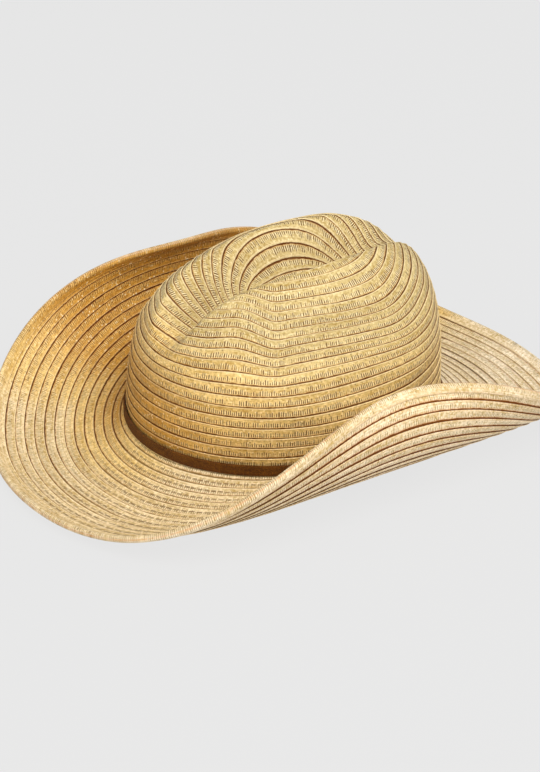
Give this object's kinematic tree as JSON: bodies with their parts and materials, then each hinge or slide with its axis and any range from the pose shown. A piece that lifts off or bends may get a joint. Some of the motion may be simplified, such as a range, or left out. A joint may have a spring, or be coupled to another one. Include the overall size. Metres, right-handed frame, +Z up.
{
  "type": "cowboy hat",
  "caption": "Straw cowboy hat sewn from rows of braid, with a creased crown, a dark band and a brim rolled up at both sides.",
  "frame": {"origin": "centre of the hat's box, at the level it stands on: the undersides of the brim's front and back dips", "axes": "+Z up through the crown, +Y towards the back of the hat, its longest way; +X towards one rolled side"},
  "size_m": [0.266, 0.3663, 0.1198],
  "materials": {
    "straw_braid": "matte",
    "edge_braid": "matte",
    "spring_wire": "satin",
    "ferrule_metal": "satin",
    "band_cord": "matte",
    "sweatband_cloth": "matte",
    "label_cloth": "matte"
  },
  "bodies": {
    "hat_body": {"crown_wall": "straw_braid", "crown_tip": "straw_braid", "brim": "straw_braid", "brim_edge_braid": "edge_braid", "brim_wire": "spring_wire", "wire_ferrule": "ferrule_metal", "sweatband": "sweatband_cloth", "sweatband_tape": "sweatband_cloth", "blank_label": "label_cloth"},
    "band": {"hat_band": "band_cord", "hat_band_keeper": "band_cord"}
  },
  "joints": [
    {"name": "hat_band_lift", "type": "slide", "parent": "hat_body", "child": "band", "axis": [0, 0, 1], "range_m": [0, 0.115]}
  ]
}
